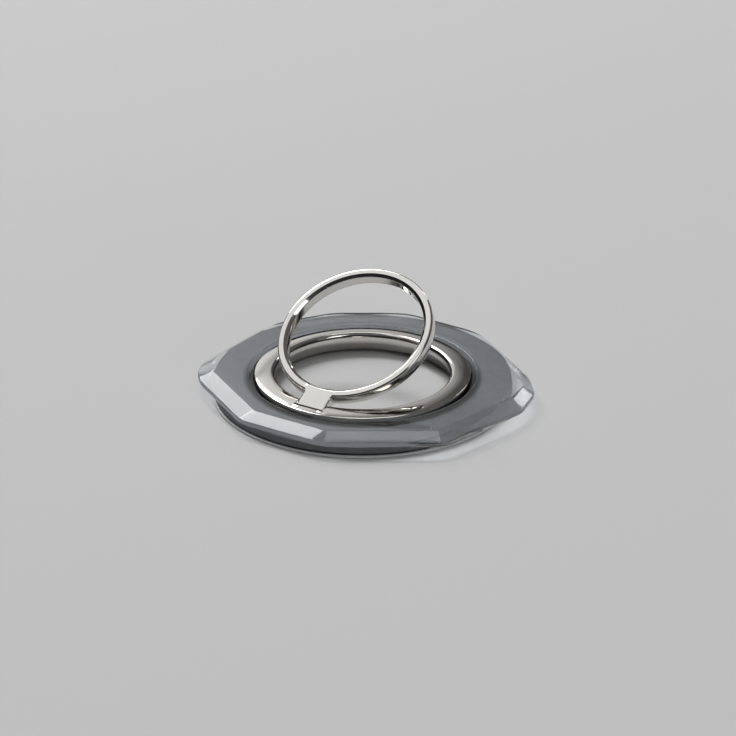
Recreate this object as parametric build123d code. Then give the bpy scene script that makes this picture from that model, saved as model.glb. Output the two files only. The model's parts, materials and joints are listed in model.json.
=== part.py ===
from build123d import *
import math
import os

# Phone ring holder: a clear faceted plate on a round magnet base, with a swivelling
# metal bezel and a folding finger ring hinged in it. Millimetres, +Z up. The origin is
# where the swivel axis meets the face that grips the phone. +X is to the right and +Y
# away from the side that is seen first. Radii grow outwards from the finger opening,
# and heights grow upwards from the gripping face.

# Finger ring
ring_inner_radius = 13.6
ring_width = 1.95
ring_depth = 2.6
ring_edge_chamfer = 0.5
ring_wall_bulge = 0.1
rest_open_angle = 31.0

# Bezel that the finger ring folds into
ring_gap = 1.45
bezel_width = 4.05
bezel_rise = 0.42
bezel_crown = 0.38
bezel_edge_chamfer = 0.15
bezel_rim_run = 0.9
bezel_rim_drop = 0.8
rim_depth = 2.25
undercut_depth = 1.2
shoulder_width = 0.95
ground_gap = 0.5
bezel_foot_chamfer = 0.2

# Hinge of the finger ring in the bezel
hinge_azimuth = 238.5
hinge_setback = 1.3
knuckle_radius = 1.05
tab_width = 5.9
hinge_washer_thickness = 0.2
hinge_washer_radius = 0.9
hinge_side_gap = 0.05
notch_clearance = 0.4
notch_floor_gap = 0.2
pin_radius = 0.45
pin_grip = 2.2
pin_running_gap = 0.04
pin_press_gap = 0.01

# Swivel bearing of the bezel in the base
swivel_clearance = 0.3
spigot_clearance = 0.15
running_gap = 0.05
lip_thickness = 0.8
slide_washer_thickness = 0.15
slide_washer_margin = 0.1
retainer_thickness = 0.5
retainer_grip = 0.7
retainer_press_gap = 0.02

# Magnet base
collar_wall = 0.7
collar_height = 0.9
pocket_wall = 1.0
pocket_clearance = 0.1
magnet_count = 16
magnet_width = 4.4
magnet_thickness = 0.8
magnet_gap = 0.3
yoke_thickness = 0.4
roof_thickness = 0.5
rim_wall = 1.35
base_edge_chamfer = 0.15
base_foot_chamfer = 0.35

# Grip pad under the base
pad_thickness = 0.4
pad_overhang = 0.3
pad_margin = 0.25

# Clear cover plate. Each facet of its outline has the azimuth of its normal, how far it
# stands out from the base rim, how far its bevel runs in, and the radius of the corner
# that leads to the next facet.
cover_thickness = 1.95
cover_fit = 0.15
cover_hole_chamfer = 0.25
bevel_drop = 1.05
facet_azimuths = [207, 238, 270, 313, 338, 5, 22, 55, 90, 115, 146]
facet_reaches = [0.2, -0.4, 0.0, 2.6, 4.6, 3.2, 0.7, -0.1, -0.1, 0.0, 0.9]
bevel_runs = [3.3, 3.3, 3.3, 3.3, 2.6, 2.2, 1.0, 0.3, 0.3, 0.3, 2.2]
corner_radii = [6.0, 12.0, 6.5, 7.0, 5.0, 10.0, 12.0, 9.0, 9.0, 9.0, 12.0]

# Radii that follow from the sizes above
ring_outer_radius = ring_inner_radius + ring_width
bezel_inner_radius = ring_outer_radius + ring_gap
bezel_outer_radius = bezel_inner_radius + bezel_width
spigot_radius = bezel_outer_radius - shoulder_width
lip_radius = spigot_radius + spigot_clearance
bore_radius = bezel_outer_radius + swivel_clearance
collar_radius = bore_radius + collar_wall
cover_hole_radius = collar_radius + cover_fit
pocket_inner_radius = collar_radius + pocket_wall
magnet_inner_radius = pocket_inner_radius + pocket_clearance
magnet_outer_radius = magnet_inner_radius + magnet_width
pocket_outer_radius = magnet_outer_radius + pocket_clearance
base_radius = pocket_outer_radius + rim_wall
hinge_radius = bezel_inner_radius + hinge_setback

# Heights that follow from the sizes above
base_bottom = pad_thickness
yoke_bottom = base_bottom + magnet_thickness
pocket_roof = yoke_bottom + yoke_thickness
cover_bottom = pocket_roof + roof_thickness
bevel_bottom = cover_bottom + cover_thickness - bevel_drop
cover_top = cover_bottom + cover_thickness
retainer_bottom = ground_gap
lower_washer_bottom = retainer_bottom + retainer_thickness
lip_bottom = lower_washer_bottom + slide_washer_thickness + running_gap
lip_top = lip_bottom + lip_thickness
shoulder_bottom = lip_top + slide_washer_thickness + running_gap
collar_top = cover_bottom + collar_height
bezel_top = cover_top + bezel_rise
hinge_height = bezel_top - knuckle_radius
notch_half_width = tab_width / 2 + hinge_washer_thickness + 2 * hinge_side_gap

hinge_line = Axis((hinge_radius, 0, hinge_height), (0, 1, 0))


def annulus(inner, outer, bottom, thickness):
    """Flat round ring about the swivel axis."""
    return Pos(0, 0, bottom) * extrude(Circle(outer) - Circle(inner), thickness)


def turned(section):
    """Solid of revolution of a section drawn as radius and height."""
    return revolve(Plane.XZ * section, Axis.Z)


def corner(section, radius, height):
    """Corner of a section that lies nearest to a radius and height."""
    return section.vertices().sort_by_distance((radius, height, 0))[0]


def swung_to_hinge(shape):
    """Turns a piece drawn with its hinge on +X to the hinge's azimuth."""
    return shape.rotate(Axis.Z, hinge_azimuth)


def along_hinge(radius, length):
    """Round bar on the hinge line, centred on the tab."""
    return Pos(hinge_radius, 0, hinge_height) * Rot(90, 0, 0) * Cylinder(radius, length)


def cover_outline(share):
    """Outline of the clear plate, with each facet drawn in by a share of its bevel's run."""
    angles = [math.radians(azimuth) for azimuth in facet_azimuths]
    insets = [share * run for run in bevel_runs]
    distances = [base_radius + reach - inset for reach, inset in zip(facet_reaches, insets)]
    lines = list(zip(angles, distances, insets))
    corners = []
    for (angle, distance, inset), (next_angle, next_distance, next_inset), radius in zip(
        lines, lines[1:] + lines[:1], corner_radii
    ):
        turn = math.sin(next_angle - angle)
        x = (distance * math.sin(next_angle) - next_distance * math.sin(angle)) / turn
        y = (next_distance * math.cos(angle) - distance * math.cos(next_angle)) / turn
        corners.append((x, y, radius - (inset + next_inset) / 2))
    outline = make_face(Polyline(*[(x, y) for x, y, _ in corners], close=True))
    for x, y, radius in corners:
        outline = fillet(corner(outline, x, y), radius)
    return outline


def clear_cover():
    wall = Pos(0, 0, cover_bottom) * extrude(cover_outline(0), bevel_bottom - cover_bottom)
    bevel = loft(
        [Pos(0, 0, bevel_bottom) * cover_outline(0), Pos(0, 0, cover_top) * cover_outline(1)],
        ruled=True,
    )
    chamfer_bottom = cover_top - cover_hole_chamfer
    hole = make_face(
        Polyline(
            (0, cover_bottom),
            (cover_hole_radius, cover_bottom),
            (cover_hole_radius, chamfer_bottom),
            (cover_hole_radius + cover_hole_chamfer, cover_top),
            (0, cover_top),
            close=True,
        )
    )
    return wall + bevel - turned(hole)


def magnet_base():
    section = make_face(
        Polyline(
            (bore_radius, base_bottom),
            (bore_radius, lip_bottom),
            (lip_radius, lip_bottom),
            (lip_radius, lip_top),
            (bore_radius, lip_top),
            (bore_radius, collar_top),
            (collar_radius, collar_top),
            (collar_radius, cover_bottom),
            (base_radius, cover_bottom),
            (base_radius, base_bottom),
            (pocket_outer_radius, base_bottom),
            (pocket_outer_radius, pocket_roof),
            (pocket_inner_radius, pocket_roof),
            (pocket_inner_radius, base_bottom),
            close=True,
        )
    )
    section = chamfer(corner(section, base_radius, cover_bottom), base_edge_chamfer)
    section = chamfer(corner(section, base_radius, base_bottom), base_foot_chamfer)
    return turned(section)


def grip_pad():
    return annulus(bore_radius + pad_margin, base_radius + pad_overhang, 0, pad_thickness)


def steel_yoke():
    return annulus(magnet_inner_radius, magnet_outer_radius, yoke_bottom, yoke_thickness)


def magnet(index):
    pitch = 360 / magnet_count
    span = pitch - math.degrees(magnet_gap / magnet_inner_radius)
    outer_arc = CenterArc((0, 0), magnet_outer_radius, index * pitch, span)
    inner_arc = CenterArc((0, 0), magnet_inner_radius, index * pitch, span)
    far_end = Line(outer_arc @ 1, inner_arc @ 1)
    near_end = Line(inner_arc @ 0, outer_arc @ 0)
    sector = make_face([outer_arc, far_end, inner_arc, near_end])
    return Pos(0, 0, base_bottom) * extrude(sector, magnet_thickness)


def bezel_section():
    """Bezel section: undercut rim, spigot, shoulder and a top that falls away outwards."""
    edge_top = bezel_top - bezel_crown
    spigot_inner_radius = bezel_inner_radius + undercut_depth
    crown_inner = (bezel_inner_radius + bezel_rim_run, bezel_top)
    crown_outer = (bezel_outer_radius - bezel_edge_chamfer, edge_top)
    crown_middle = ((crown_inner[0] + crown_outer[0]) / 2, bezel_top - bezel_crown / 4)
    sides = Polyline(
        crown_inner,
        (bezel_inner_radius, bezel_top - bezel_rim_drop),
        (bezel_inner_radius, bezel_top - rim_depth),
        (spigot_inner_radius, bezel_top - rim_depth),
        (spigot_inner_radius, ground_gap),
        (spigot_radius, ground_gap),
        (spigot_radius, shoulder_bottom),
        (bezel_outer_radius, shoulder_bottom),
        (bezel_outer_radius, edge_top - bezel_edge_chamfer),
        crown_outer,
    )
    section = make_face([sides, ThreePointArc(crown_outer, crown_middle, crown_inner)])
    return chamfer(corner(section, spigot_inner_radius, ground_gap), bezel_foot_chamfer)


def swivel_bezel():
    notch_wall = hinge_radius + knuckle_radius + notch_clearance
    notch_floor = hinge_height - knuckle_radius - notch_floor_gap
    notch = Pos(notch_wall, 0, notch_floor) * Box(
        notch_wall - ring_inner_radius,
        2 * notch_half_width,
        cover_top,
        align=(Align.MAX, Align.CENTER, Align.MIN),
    )
    pin_half_length = notch_half_width + pin_grip
    drill = Pos(hinge_radius, -pin_half_length, hinge_height) * Rot(-90, 0, 0) * Cylinder(
        pin_radius + pin_press_gap,
        pin_half_length + bezel_outer_radius,
        align=(Align.CENTER, Align.CENTER, Align.MIN),
    )
    return swung_to_hinge(turned(bezel_section()) - notch - drill)


def slide_washer(bottom):
    outer = bezel_outer_radius - slide_washer_margin
    return annulus(lip_radius, outer, bottom, slide_washer_thickness)


def retaining_ring():
    inner = spigot_radius + retainer_press_gap
    return annulus(inner, lip_radius + retainer_grip, retainer_bottom, retainer_thickness)


def hinge_pin():
    return swung_to_hinge(along_hinge(pin_radius, 2 * (notch_half_width + pin_grip)))


def hinge_washer(side):
    washer = along_hinge(hinge_washer_radius, hinge_washer_thickness)
    washer -= along_hinge(pin_radius + pin_running_gap, tab_width)
    offset = tab_width / 2 + hinge_side_gap + hinge_washer_thickness / 2
    return swung_to_hinge(Pos(0, side * offset, 0) * washer)


def finger_ring():
    middle_height = bezel_top - ring_depth / 2
    bottom = bezel_top - ring_depth
    inner_side = Line((ring_inner_radius, bezel_top), (ring_inner_radius, bottom))
    outer_edge = ring_outer_radius - ring_wall_bulge
    back = Line(inner_side @ 1, (outer_edge, bottom))
    outer_side = ThreePointArc(back @ 1, (ring_outer_radius, middle_height), (outer_edge, bezel_top))
    face = Line(outer_side @ 1, inner_side @ 0)
    section = make_face([inner_side, back, outer_side, face])
    section = chamfer(section.vertices(), ring_edge_chamfer)
    tab_start = ring_inner_radius + ring_width / 2
    tab = Pos(tab_start, 0, hinge_height) * Box(
        hinge_radius - tab_start,
        tab_width,
        2 * knuckle_radius,
        align=(Align.MIN, Align.CENTER, Align.CENTER),
    )
    knuckle = along_hinge(knuckle_radius, tab_width)
    pin_bore = along_hinge(pin_radius + pin_running_gap, 2 * tab_width)
    folded = turned(section) + tab + knuckle - pin_bore
    return swung_to_hinge(folded.rotate(hinge_line, rest_open_angle))


pieces = {
    "clear_cover": clear_cover(),
    "magnet_base": magnet_base(),
    "steel_yoke": steel_yoke(),
    "grip_pad": grip_pad(),
    "swivel_bezel": swivel_bezel(),
    "upper_slide_washer": slide_washer(lip_top),
    "lower_slide_washer": slide_washer(lower_washer_bottom),
    "retaining_ring": retaining_ring(),
    "finger_ring": finger_ring(),
    "hinge_pin": hinge_pin(),
    "hinge_washer_left": hinge_washer(-1),
    "hinge_washer_right": hinge_washer(1),
}
for index in range(magnet_count):
    pieces[f"magnet_{index + 1:02d}"] = magnet(index)

os.makedirs("parts", exist_ok=True)
for name, piece in pieces.items():
    export_step(piece, f"parts/{name}.step")
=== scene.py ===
import json
import math

import bpy
from mathutils import Matrix, Vector


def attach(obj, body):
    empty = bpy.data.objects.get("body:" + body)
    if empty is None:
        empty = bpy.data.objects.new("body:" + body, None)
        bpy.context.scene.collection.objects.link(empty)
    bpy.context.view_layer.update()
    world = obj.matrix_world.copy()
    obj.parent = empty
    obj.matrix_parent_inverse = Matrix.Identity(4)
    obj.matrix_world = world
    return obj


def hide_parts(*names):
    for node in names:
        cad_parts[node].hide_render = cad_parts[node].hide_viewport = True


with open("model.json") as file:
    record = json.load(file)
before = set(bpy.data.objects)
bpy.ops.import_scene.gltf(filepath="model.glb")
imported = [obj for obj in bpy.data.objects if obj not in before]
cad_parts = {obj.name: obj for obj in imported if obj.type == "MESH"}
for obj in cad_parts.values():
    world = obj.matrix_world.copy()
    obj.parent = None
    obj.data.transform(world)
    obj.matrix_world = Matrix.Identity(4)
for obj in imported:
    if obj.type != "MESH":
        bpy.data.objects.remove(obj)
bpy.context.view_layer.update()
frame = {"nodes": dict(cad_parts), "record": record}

MM = 0.001

# Finger ring, in millimetres as all sizes below, drawn folded flat
RING_INNER = 13.6
RING_OUTER = 15.55
RING_DEPTH = 2.6
RING_BULGE = 0.1
WALL_ROUND = 3.0
EDGE_ROUND = 0.42
BACK_ROUND = 0.5
FACE_BEVEL = 0.6
BEVEL_DROP = 0.48
BEVEL_ROUND = 0.2
FACE_MARGIN = 0.05

# Hinge line, tab of the ring and notch of the bezel
HINGE_AZIMUTH = 238.5
HINGE_RADIUS = 18.3
HINGE_HEIGHT = 3.42
OPEN_ANGLE = 31.0
KNUCKLE = 1.05
TAB_HALF = 2.95
TAB_EDGE = 0.3
TAB_DROP = 0.03
TAB_START = 0.1
TAB_BLEND = 0.25
NOTCH_HALF = 3.25
NOTCH_EDGE = 0.02
NOTCH_WALL = 19.75
NOTCH_BRINK = 0.22
NOTCH_BANK = 0.5
NOTCH_FLOOR = 2.17
FLOOR_STEP = 0.02

# Bezel
BEZEL_INNER = 17.0
BEZEL_OUTER = 21.05
BEZEL_TOP = 4.47
BEZEL_FOOT = 0.5
CROWN_DROP = 0.42
CROWN_MARGIN = 0.14
LIP_ROUND = 1.0
RIM_FOOT = 2.8
UNDERCUT = 18.2
SPIGOT = 20.1
SHOULDER = 2.2

# Gray disc and grip pad
BASE_RADIUS = 29.0
BASE_FOOT = 0.4
BASE_BORE = 21.35
FOOT_CHAMFER = 0.35
POCKET_RADIUS = 27.65
COLLAR_RADIUS = 22.05
COLLAR_TOP = 3.0
LIP_RADIUS = 20.25
LIP_FOOT = 1.2
LIP_TOP = 2.0
SEAT_LAP = 0.02
PAD_HOLE = 21.6
PAD_EDGE = 0.3

# Clear cover, then the azimuth, reach, bevel run and corner rounding of its facets
COVER_FOOT = 2.1
BEVEL_FOOT = 3.0
COVER_TOP = 4.05
HOLE = 22.2
HOLE_LAND = 1.2
FOOT_ROUND = 0.2
WALL_KNEE = 0.16
FOOT_SHARE = 0.07
CREST_SHARE = 0.14
AZIMUTHS = [207, 238, 270, 313, 338, 5, 22, 55, 90, 115, 146]
REACHES = [0.2, -0.4, 0.0, 2.6, 4.6, 3.2, 0.7, -0.1, -0.1, 0.0, 0.9]
RUNS = [3.3, 3.3, 3.3, 3.3, 2.6, 2.2, 1.0, 0.3, 0.3, 0.3, 2.2]
ROUNDS = [6.0, 12.0, 6.5, 7.0, 5.0, 10.0, 12.0, 9.0, 9.0, 9.0, 12.0]


# Shapes

def rounded(corners, steps=8):
    """Closed section from corners (radius, height, rounding), with each rounding as an arc."""
    points = []
    count = len(corners)
    for i, (x, y, r) in enumerate(corners):
        here = Vector((x, y))
        if r <= 0:
            points.append((x, y))
            continue
        before = (Vector(corners[i - 1][:2]) - here).normalized()
        after = (Vector(corners[(i + 1) % count][:2]) - here).normalized()
        half = before.angle(after) / 2
        centre = here + (before + after).normalized() * (r / math.sin(half))
        start = here + before * (r / math.tan(half)) - centre
        end = here + after * (r / math.tan(half)) - centre
        turn = start.angle_signed(end)
        for k in range(steps + 1):
            arm = Matrix.Rotation(-turn * k / steps, 2) @ start
            points.append(tuple(centre + arm))
    return points


def spread(points, count):
    """The same open line with its points spread evenly over its length."""
    line = [Vector(p) for p in points]
    reach = [0.0]
    for a, b in zip(line, line[1:]):
        reach.append(reach[-1] + (b - a).length)
    out = []
    j = 0
    for k in range(count):
        want = reach[-1] * k / (count - 1)
        while j < len(line) - 2 and reach[j + 1] < want:
            j += 1
        share = (want - reach[j]) / max(reach[j + 1] - reach[j], 1e-9)
        out.append(tuple(line[j].lerp(line[j + 1], min(max(share, 0.0), 1.0))))
    return out


def swept(name, loops, sharp=35.0):
    """Closed skin through loops of equal length that go once round."""
    size = len(loops[0])
    verts = [tuple(c * MM for c in p) for loop in loops for p in loop]
    faces = []
    for i in range(len(loops)):
        j = (i + 1) % len(loops)
        for a in range(size):
            b = (a + 1) % size
            faces.append((i * size + a, j * size + a, j * size + b, i * size + b))
    mesh = bpy.data.meshes.new(name)
    mesh.from_pydata(verts, [], faces)
    mesh.validate()
    mesh.polygons.foreach_set("use_smooth", [True] * len(mesh.polygons))
    mesh.set_sharp_from_angle(angle=math.radians(sharp))
    piece = bpy.data.objects.new(name, mesh)
    bpy.context.scene.collection.objects.link(piece)
    return piece


def lathe(name, section, steps=288, sharp=35.0):
    """Skin of a section (radius, height) turned round the swivel axis."""
    loops = []
    for i in range(steps):
        a = 2 * math.pi * i / steps
        loops.append([(r * math.cos(a), r * math.sin(a), z) for r, z in section])
    return swept(name, loops, sharp)


def cut_round(plain, cut, half, inner, edge, steps=260):
    """Loops round the axis with the plain section, and with the cut section across the hinge side.

    plain and cut give a section of (radius, height, flat) points; a point that is flat keeps its
    distance along the hinge side instead of its radius. inner is the smallest radius."""
    loops = []
    gap = math.asin((half + 0.5) / inner)
    for i in range(steps + 1):
        a = gap + (2 * math.pi - 2 * gap) * i / steps
        loops.append([(r * math.cos(a), r * math.sin(a), z) for r, z, _ in plain])
    turns = [math.radians(18 * k) for k in range(6)]
    soft = [(half - edge * (1 - math.cos(a)), edge * (1 - math.sin(a))) for a in turns]
    rows = [(-half, None)] + [(-y, inset) for y, inset in soft]
    rows += [(-half + edge + (2 * half - 2 * edge) * k / 10, 0.0) for k in range(1, 10)]
    rows += soft[::-1] + [(half, None)]
    for y, inset in rows:
        section = plain if inset is None else cut(inset)
        loop = []
        for r, z, flat in section:
            x = r if flat else math.sqrt(r * r - y * y)
            loop.append((x, y, z))
        loops.append(loop)
    return loops


def to_hinge(piece, angle=0.0):
    """Swings a piece drawn with its hinge on +X up by an angle, and round to the hinge's side."""
    pivot = Vector((HINGE_RADIUS, 0, HINGE_HEIGHT)) * MM
    swing = Matrix.Translation(pivot) @ Matrix.Rotation(math.radians(angle), 4, "Y")
    swing = swing @ Matrix.Translation(-pivot)
    piece.data.transform(Matrix.Rotation(math.radians(HINGE_AZIMUTH), 4, "Z") @ swing)
    piece.data.update()
    return piece


def finger_ring():
    top, foot = BEZEL_TOP, BEZEL_TOP - RING_DEPTH
    middle = (top + foot) / 2
    corners = [
        (RING_INNER, foot, BACK_ROUND),
        (RING_OUTER - RING_BULGE, foot, BACK_ROUND),
        (RING_OUTER, middle, WALL_ROUND),
        (RING_OUTER - RING_BULGE, top, EDGE_ROUND),
        (RING_INNER + FACE_BEVEL, top, BEVEL_ROUND),
        (RING_INNER, top - BEVEL_DROP, BEVEL_ROUND),
    ]
    steps = 12
    outline = rounded(corners, steps)
    bend = steps + 1
    tab_top, tab_foot = top - TAB_DROP, top - 2 * KNUCKLE
    share = 40
    face_start = RING_OUTER - RING_BULGE - EDGE_ROUND - FACE_MARGIN
    low = [p for p in outline[: 3 * bend] if p[1] < tab_foot]
    wall = (RING_OUTER - RING_BULGE * (middle - tab_foot) / (middle - foot), tab_foot)
    upper = [p for p in outline[2 * bend:] if p[1] > tab_foot and p[0] > face_start]
    rest = outline[4 * bend:]
    side = spread([wall] + upper + [(face_start, top)], share)
    plain = [(r, z, False) for r, z in low + side + rest]

    def cut(inset):
        radius = KNUCKLE - inset
        path = [(wall[0], tab_foot + inset)]
        for k in range(21):
            a = math.radians(-90 + 180 * k / 20)
            height = HINGE_HEIGHT + radius * math.sin(a)
            path.append((HINGE_RADIUS + radius * math.cos(a), min(height, tab_top - inset)))
        path.append((RING_OUTER + TAB_START, tab_top - inset))
        path.append((RING_OUTER - TAB_BLEND, tab_top + TAB_DROP / 2))
        path.append((face_start, top))
        tab = spread(path, share)
        tab[0] = wall
        tab[-1] = (face_start, top)
        section = [(r, z, False) for r, z in low]
        section += [(r, z, 0 < k < share - 1) for k, (r, z) in enumerate(tab)]
        return section + [(r, z, False) for r, z in rest]

    loops = cut_round(plain, cut, TAB_HALF, RING_INNER, TAB_EDGE)
    return to_hinge(swept("finger_ring_polished", loops, 40.0), OPEN_ANGLE)


def bezel():
    rim = BEZEL_INNER + LIP_ROUND

    def crown(r):
        reach = max(r - rim, 0.0) / (BEZEL_OUTER - rim)
        return BEZEL_TOP - CROWN_DROP * reach * reach

    outer = rounded(
        [
            (UNDERCUT, BEZEL_FOOT, 0.2),
            (SPIGOT, BEZEL_FOOT, 0.1),
            (SPIGOT, SHOULDER, 0.0),
            (BEZEL_OUTER, SHOULDER, 0.1),
            (BEZEL_OUTER, crown(BEZEL_OUTER), 0.12),
            (BEZEL_OUTER - 0.2, crown(BEZEL_OUTER - 0.2), 0.0),
            (BEZEL_INNER, crown(BEZEL_OUTER - 0.2), 0.0),
        ],
        10,
    )[:-2]
    bank = NOTCH_WALL + NOTCH_BANK
    brink = BEZEL_OUTER - CROWN_MARGIN
    land = [brink + (bank - brink) * k / 8 for k in range(9)]
    outer += [(r, crown(r)) for r in land]
    back = [bank + (rim - bank) * k / 14 for k in range(1, 15)]
    top = [(r, crown(r)) for r in back]
    lip = rounded(
        [
            (rim + 0.3, BEZEL_TOP, 0.0),
            (BEZEL_INNER, BEZEL_TOP, LIP_ROUND),
            (BEZEL_INNER, RIM_FOOT, 0.1),
            (UNDERCUT, RIM_FOOT, 0.0),
        ],
        18,
    )[2:-1]
    share = 52
    inner = spread([(bank, crown(bank))] + top + lip, share)
    plain = [(r, z, False) for r, z in outer + inner[1:] + [(UNDERCUT, RIM_FOOT)]]

    def cut(inset):
        path = rounded(
            [
                (NOTCH_WALL + NOTCH_BRINK, crown(NOTCH_WALL + NOTCH_BRINK), 0.0),
                (NOTCH_WALL + inset, crown(NOTCH_WALL), 0.14),
                (NOTCH_WALL + inset, NOTCH_FLOOR, 0.12),
                (UNDERCUT, NOTCH_FLOOR, 0.0),
            ],
            5,
        )
        groove = spread(path, share - 1)
        section = [(r, z, False) for r, z in outer]
        section += [(r, z, k < share - 2) for k, (r, z) in enumerate(groove)]
        return section + [(UNDERCUT, NOTCH_FLOOR - FLOOR_STEP, False)]

    loops = cut_round(plain, cut, NOTCH_HALF, BEZEL_INNER, NOTCH_EDGE)
    return to_hinge(swept("swivel_bezel_polished", loops, 40.0))


def outline(share, inset, z, steps=720):
    """Loop of the cover's outline, drawn in by a share of each bevel's run and an inset."""
    lines = []
    for a, reach, run in zip(AZIMUTHS, REACHES, RUNS):
        lines.append((math.radians(a), BASE_RADIUS + reach - share * run - inset, share * run))
    corners = []
    for (a, d, u), (b, e, v), r in zip(lines, lines[1:] + lines[:1], ROUNDS):
        turn = math.sin(b - a)
        x = (d * math.sin(b) - e * math.sin(a)) / turn
        y = (e * math.cos(a) - d * math.cos(b)) / turn
        corners.append((x, y, r - (u + v) / 2 - inset))
    shape = [Vector(p) for p in rounded(corners, 16)]
    shape.append(shape[0])
    angles = [math.atan2(p.y, p.x) for p in shape]
    loop = []
    j = 0
    start = angles[0]
    whole = [0.0]
    for a, b in zip(angles, angles[1:]):
        whole.append(whole[-1] + (b - a) % (2 * math.pi))
    for k in range(steps):
        want = 2 * math.pi * k / steps
        while j < len(whole) - 2 and whole[j + 1] <= want:
            j += 1
        ray = Vector((math.cos(start + want), math.sin(start + want)))
        a, b = shape[j], shape[j + 1]
        along = b - a
        turn = ray.x * along.y - ray.y * along.x
        reach = (a.x * along.y - a.y * along.x) / turn
        loop.append((start + want, reach, z))
    return loop


def cover():
    """Clear plate: sections from the wall's foot over the bevel and top into the round hole."""
    rise = COVER_TOP - BEVEL_FOOT
    rows = []
    for k in range(5):
        a = math.radians(90 * k / 4)
        inset = FOOT_ROUND * (1 - math.sin(a))
        rows.append((0.0, inset, COVER_FOOT + FOOT_ROUND * (1 - math.cos(a))))
    low, high = FOOT_SHARE, CREST_SHARE
    bends = [
        ((0.0, BEVEL_FOOT - WALL_KNEE), (0.0, BEVEL_FOOT), (low, BEVEL_FOOT + low * rise)),
        ((1.0 - high, COVER_TOP - high * rise), (1.0, COVER_TOP), (1.0 + high, COVER_TOP)),
    ]
    for start, knee, finish in bends:
        for k in range(7):
            t = k / 6
            spans = zip(start, knee, finish)
            share, z = [(1 - t) ** 2 * s + 2 * t * (1 - t) * m + t * t * e for s, m, e in spans]
            rows.append((share, 0.0, z))
    skins = [outline(*row) for row in rows]
    steps = len(skins[0])
    rim = rounded(
        [
            (HOLE + HOLE_LAND, COVER_TOP, 0.0),
            (HOLE, COVER_TOP, 0.25),
            (HOLE, COVER_FOOT, 0.05),
            (HOLE + HOLE_LAND, COVER_FOOT, 0.0),
        ],
        6,
    )
    loops = []
    for i in range(steps):
        loop = []
        for skin in skins:
            angle, radius, z = skin[i]
            loop.append((radius * math.cos(angle), radius * math.sin(angle), z))
        angle = skins[0][i][0]
        for radius, z in rim:
            loop.append((radius * math.cos(angle), radius * math.sin(angle), z))
        loops.append(loop)
    return swept("clear_cover_moulded", loops, 30.0)


def base_disc():
    seat = COVER_FOOT + SEAT_LAP
    section = rounded(
        [
            (BASE_BORE, BASE_FOOT, 0.1),
            (POCKET_RADIUS, BASE_FOOT, 0.0),
            (BASE_RADIUS - FOOT_CHAMFER, BASE_FOOT, 0.05),
            (BASE_RADIUS, BASE_FOOT + FOOT_CHAMFER, 0.12),
            (BASE_RADIUS, seat, 0.14),
            (COLLAR_RADIUS, seat, 0.0),
            (COLLAR_RADIUS, COLLAR_TOP, 0.12),
            (BASE_BORE, COLLAR_TOP, 0.12),
            (BASE_BORE, LIP_TOP, 0.0),
            (LIP_RADIUS, LIP_TOP, 0.08),
            (LIP_RADIUS, LIP_FOOT, 0.08),
            (BASE_BORE, LIP_FOOT, 0.0),
        ],
        5,
    )
    return lathe("magnet_base_moulded", section)


def pad():
    section = rounded(
        [
            (PAD_HOLE, 0.0, 0.1),
            (BASE_RADIUS + PAD_EDGE, 0.0, 0.1),
            (BASE_RADIUS + PAD_EDGE, BASE_FOOT, 0.16),
            (PAD_HOLE, BASE_FOOT, 0.16),
        ],
        5,
    )
    return lathe("grip_pad_moulded", section)


# Materials

def material(name):
    mat = bpy.data.materials.new(name)
    mat.use_nodes = True
    tree = mat.node_tree
    tree.nodes.clear()
    out = tree.nodes.new("ShaderNodeOutputMaterial")
    shader = tree.nodes.new("ShaderNodeBsdfPrincipled")
    tree.links.new(shader.outputs["BSDF"], out.inputs["Surface"])
    return mat, tree, shader, out


def noise(tree, scale, detail=4.0, stretch=(1, 1, 1), rough=0.55):
    place = tree.nodes.new("ShaderNodeTexCoord")
    mapping = tree.nodes.new("ShaderNodeMapping")
    mapping.inputs["Scale"].default_value = stretch
    grain = tree.nodes.new("ShaderNodeTexNoise")
    grain.inputs["Scale"].default_value = scale
    grain.inputs["Detail"].default_value = detail
    grain.inputs["Roughness"].default_value = rough
    tree.links.new(place.outputs["Object"], mapping.inputs["Vector"])
    tree.links.new(mapping.outputs["Vector"], grain.inputs["Vector"])
    return grain.outputs["Fac"]


def shades(tree, value, low, high, start=0.3, end=0.7):
    ramp = tree.nodes.new("ShaderNodeValToRGB")
    ramp.color_ramp.elements[0].position = start
    ramp.color_ramp.elements[0].color = (*low, 1)
    ramp.color_ramp.elements[1].position = end
    ramp.color_ramp.elements[1].color = (*high, 1)
    tree.links.new(value, ramp.inputs["Fac"])
    return ramp.outputs["Color"]


def between(tree, value, low, high):
    span = tree.nodes.new("ShaderNodeMapRange")
    span.inputs["From Min"].default_value = 0.3
    span.inputs["From Max"].default_value = 0.7
    span.inputs["To Min"].default_value = low
    span.inputs["To Max"].default_value = high
    tree.links.new(value, span.inputs["Value"])
    return span.outputs["Result"]


def bump(tree, shader, height, strength, distance):
    node = tree.nodes.new("ShaderNodeBump")
    node.inputs["Strength"].default_value = strength
    node.inputs["Distance"].default_value = distance
    tree.links.new(height, node.inputs["Height"])
    tree.links.new(node.outputs["Normal"], shader.inputs["Normal"])


def metal(name, low, high, rough_low, rough_high):
    """Polished or ground metal with faint changes of tone, gloss and surface."""
    mat, tree, shader, _ = material(name)
    shader.inputs["Metallic"].default_value = 1.0
    tree.links.new(shades(tree, noise(tree, 140.0), low, high), shader.inputs["Base Color"])
    wear = noise(tree, 420.0, 6.0)
    tree.links.new(between(tree, wear, rough_low, rough_high), shader.inputs["Roughness"])
    bump(tree, shader, noise(tree, 900.0, 3.0), 0.03, 0.00002)
    return mat


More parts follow.
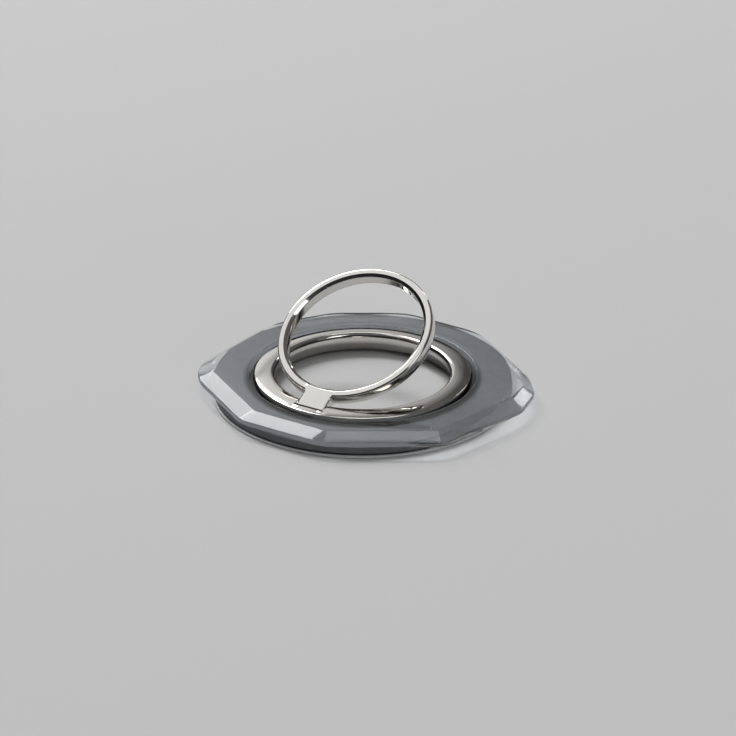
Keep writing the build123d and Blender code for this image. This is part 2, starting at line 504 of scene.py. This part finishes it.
def plastic(name, low, high, rough_low, rough_high, painted_shade=None):
    """Fine matte grain; the last argument gives the radius and height inside and below which shade is
    painted into the grooves.
    """
    mat, tree, shader, _ = material(name)
    colour = shades(tree, noise(tree, 500.0, 8.0), low, high)
    # Painted shade: the colour falls to near black inside the given radius and below the given height,
    # where the grooves lie in shade
    if painted_shade is not None:
        place = tree.nodes.new("ShaderNodeTexCoord")
        black, white = (0.04, 0.04, 0.04), (1, 1, 1)
        for axes, limit in (((1, 1, 0), painted_shade[0]), ((0, 0, 1), painted_shade[1])):
            flat = tree.nodes.new("ShaderNodeVectorMath")
            flat.operation = "MULTIPLY"
            flat.inputs[1].default_value = [c * 0.5 / limit for c in axes]
            reach = tree.nodes.new("ShaderNodeVectorMath")
            reach.operation = "LENGTH"
            blend = tree.nodes.new("ShaderNodeMix")
            blend.data_type = "RGBA"
            blend.blend_type = "MULTIPLY"
            blend.inputs["Factor"].default_value = 1.0
            tree.links.new(place.outputs["Object"], flat.inputs[0])
            tree.links.new(flat.outputs["Vector"], reach.inputs[0])
            fade = shades(tree, reach.outputs["Value"], black, white, 0.49, 0.51)
            tree.links.new(colour, blend.inputs["A"])
            tree.links.new(fade, blend.inputs["B"])
            colour = blend.outputs["Result"]
    tree.links.new(colour, shader.inputs["Base Color"])
    tree.links.new(between(tree, noise(tree, 900.0), rough_low, rough_high), shader.inputs["Roughness"])
    bump(tree, shader, noise(tree, 2600.0, 5.0), 0.12, 0.00003)
    return mat


def clear(name):
    """Clear plastic: light passes its level faces, and its steep walls hold it back."""
    mat, tree, shader, out = material(name)
    shader.inputs["Base Color"].default_value = (0.93, 0.945, 0.96, 1)
    shader.inputs["Transmission Weight"].default_value = 1.0
    shader.inputs["IOR"].default_value = 1.49
    tree.links.new(between(tree, noise(tree, 300.0, 6.0), 0.05, 0.1), shader.inputs["Roughness"])
    bump(tree, shader, noise(tree, 160.0, 2.0), 0.05, 0.00005)
    light = tree.nodes.new("ShaderNodeLightPath")
    through = tree.nodes.new("ShaderNodeBsdfTransparent")
    facing = tree.nodes.new("ShaderNodeNewGeometry")
    level = tree.nodes.new("ShaderNodeSeparateXYZ")
    upright = tree.nodes.new("ShaderNodeMath")
    upright.operation = "ABSOLUTE"
    tree.links.new(facing.outputs["Normal"], level.inputs["Vector"])
    tree.links.new(level.outputs["Z"], upright.inputs[0])
    passed = shades(tree, upright.outputs[0], (0.1, 0.1, 0.105), (0.97, 0.98, 0.99), 0.6, 0.95)
    tree.links.new(passed, through.inputs["Color"])
    mix = tree.nodes.new("ShaderNodeMixShader")
    tree.links.new(light.outputs["Is Shadow Ray"], mix.inputs["Fac"])
    tree.links.new(shader.outputs["BSDF"], mix.inputs[1])
    tree.links.new(through.outputs["BSDF"], mix.inputs[2])
    tree.links.new(mix.outputs["Shader"], out.inputs["Surface"])
    return mat


# Radius and height of the disc, in metres, inside and below which shade is painted into its grooves
PAINTED_GROOVE_SHADE = (0.0231, 0.00085)

looks = {
    "clear_acrylic": clear("clear_acrylic_look"),
    "gray_plastic": plastic(
        "gray_plastic_look", (0.098, 0.104, 0.112), (0.118, 0.124, 0.132), 0.45, 0.6, PAINTED_GROOVE_SHADE
    ),
    "pad_rubber": plastic("pad_rubber_look", (0.56, 0.57, 0.58), (0.66, 0.67, 0.68), 0.5, 0.65),
    "washer_plastic": plastic("washer_plastic_look", (0.03, 0.03, 0.032), (0.045, 0.045, 0.048), 0.35, 0.5),
    "bezel_metal": metal("bezel_metal_look", (0.66, 0.64, 0.605), (0.7, 0.68, 0.645), 0.06, 0.1),
    "ring_metal": metal("ring_metal_look", (0.69, 0.675, 0.645), (0.73, 0.715, 0.685), 0.05, 0.09),
    "yoke_steel": metal("yoke_steel_look", (0.42, 0.42, 0.43), (0.5, 0.5, 0.51), 0.35, 0.5),
    "retainer_steel": metal("retainer_steel_look", (0.48, 0.48, 0.49), (0.55, 0.55, 0.56), 0.28, 0.4),
    "pin_steel": metal("pin_steel_look", (0.52, 0.52, 0.53), (0.58, 0.58, 0.59), 0.2, 0.3),
    "washer_steel": metal("washer_steel_look", (0.48, 0.48, 0.49), (0.55, 0.55, 0.56), 0.25, 0.35),
    "magnet_nickel": metal("magnet_nickel_look", (0.56, 0.55, 0.53), (0.62, 0.61, 0.59), 0.18, 0.28),
}

pieces = [
    (cover(), "base", "clear_acrylic", "clear_cover"),
    (base_disc(), "base", "gray_plastic", "magnet_base"),
    (pad(), "base", "pad_rubber", "grip_pad"),
    (bezel(), "swivel", "bezel_metal", "swivel_bezel"),
    (finger_ring(), "ring", "ring_metal", "finger_ring"),
]
for piece, body, slot, node in pieces:
    piece.data.materials.append(looks[slot])
    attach(piece, body)
    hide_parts(node)

replaced = {node for _, _, _, node in pieces}
for entry in frame["record"]["subparts"]:
    if entry["node"] in replaced:
        continue
    solid = frame["nodes"][entry["node"]]
    for place in solid.material_slots:
        place.material = looks[entry["material_slot"]]


# Floor, light and camera

def floor():
    half = 1.6
    sunk = 0.00003
    mesh = bpy.data.meshes.new("floor")
    corners = [(-half, -half), (half, -half), (half, half), (-half, half)]
    mesh.from_pydata([(x, y, -sunk) for x, y in corners], [], [(0, 1, 2, 3)])
    ground = bpy.data.objects.new("floor", mesh)
    bpy.context.scene.collection.objects.link(ground)
    mat, tree, shader, _ = material("floor_look")
    shader.inputs["Base Color"].default_value = (0.51, 0.51, 0.51, 1)
    shader.inputs["Roughness"].default_value = 0.8
    shader.inputs["Specular IOR Level"].default_value = 0.2
    mesh.materials.append(mat)


def lamp(name, azimuth, elevation, distance, width, height, power, seen=True):
    """Panel aimed at the object; one that isn't seen lights it but shows in no reflection."""
    light = bpy.data.lights.new(name, "AREA")
    light.shape = "RECTANGLE"
    light.size, light.size_y = width, height
    light.energy = power
    holder = bpy.data.objects.new(name, light)
    a, e = math.radians(azimuth), math.radians(elevation)
    spot = Vector((math.cos(e) * math.cos(a), math.cos(e) * math.sin(a), math.sin(e))) * distance
    holder.location = spot
    holder.rotation_euler = (-spot).to_track_quat("-Z", "Y").to_euler()
    holder.visible_glossy = seen
    holder.visible_transmission = seen
    bpy.context.scene.collection.objects.link(holder)


floor()
lamp("key_softbox", 124, 49, 3.0, 1.1, 0.95, 27)
lamp("key_low", 118, 33.5, 3.0, 1.0, 0.85, 12.8)
lamp("ring_panel", 151, 60, 3.0, 1.7, 1.9, 8.0)
lamp("front_fill", 314, 52, 3.2, 1.0, 1.5, 10.0)
lamp("side_strip", 59.5, 33, 3.0, 0.46, 0.52, 3.7)
lamp("front_panel", 88, 60.5, 3.0, 0.9, 0.5, 2.8)
lamp("main_light", 100, 60, 3.0, 0.7, 0.7, 30, seen=False)
lamp("top_fill", 0, 86, 3.0, 2.0, 2.0, 10, seen=False)
lamp("front_low", 300, 12, 3.0, 0.9, 0.5, 10, seen=False)

# Dark studio with a soft glow low down behind the object's left side
world = bpy.data.worlds.new("studio")
bpy.context.scene.world = world
world.use_nodes = True
tree = world.node_tree
tree.nodes.clear()
place = tree.nodes.new("ShaderNodeTexCoord")
parts = tree.nodes.new("ShaderNodeSeparateXYZ")
tree.links.new(place.outputs["Generated"], parts.inputs["Vector"])


def levels(value, stops):
    ramp = tree.nodes.new("ShaderNodeValToRGB")
    ramp.color_ramp.interpolation = "EASE"
    line = ramp.color_ramp.elements
    while len(line) < len(stops):
        line.new(0.5)
    for stop, (spot, light) in zip(line, stops):
        stop.position = spot
        stop.color = (light, light, light, 1)
    tree.links.new(value, ramp.inputs["Fac"])
    return ramp.outputs["Color"]


def joined(first, second, kind):
    node = tree.nodes.new("ShaderNodeMix")
    node.data_type = "RGBA"
    node.blend_type = kind
    node.inputs["Factor"].default_value = 1.0
    tree.links.new(first, node.inputs["A"])
    tree.links.new(second, node.inputs["B"])
    return node.outputs["Result"]


leftward = tree.nodes.new("ShaderNodeMapRange")
leftward.inputs["From Min"].default_value = 0.2
leftward.inputs["From Max"].default_value = -0.8
tree.links.new(parts.outputs["X"], leftward.inputs["Value"])
across = [(0.0, 0.06), (0.07, 0.2), (0.12, 0.36), (0.2, 0.6), (0.32, 0.78), (0.45, 0.9)]
across += [(0.62, 0.8), (0.85, 0.03), (1.0, 0.0)]
glow = levels(leftward.outputs["Result"], across)
upward = [(0.12, 0.0), (0.22, 1.0), (0.33, 0.95), (0.4, 0.58), (0.45, 1.0)]
upward += [(0.66, 1.0), (0.84, 0.0)]
glow = joined(glow, levels(parts.outputs["Z"], upward), "MULTIPLY")
glow = joined(glow, levels(parts.outputs["Y"], [(0.0, 0.0), (0.3, 1.0)]), "MULTIPLY")
sky = levels(parts.outputs["Z"], [(0.0, 0.012), (0.5, 0.03), (1.0, 0.15)])
back = tree.nodes.new("ShaderNodeBackground")
end = tree.nodes.new("ShaderNodeOutputWorld")
tree.links.new(joined(sky, glow, "ADD"), back.inputs["Color"])
tree.links.new(back.outputs["Background"], end.inputs["Surface"])

# Camera where the photo was taken from, in metres
EYE_PLACE = (0.0, -0.3609, 0.1724)
EYE_AIM = (0.00104, 0.00182, 0.00382)
EYE_LENS = 99.9

eye = bpy.data.cameras.new("eye")
eye.lens = EYE_LENS
eye.sensor_width = 36.0
viewer = bpy.data.objects.new("eye", eye)
viewer.location = EYE_PLACE
aim = Vector(EYE_AIM) - viewer.location
viewer.rotation_euler = aim.to_track_quat("-Z", "Y").to_euler()
bpy.context.scene.collection.objects.link(viewer)
bpy.context.scene.camera = viewer
bpy.context.scene.view_settings.view_transform = "Standard"
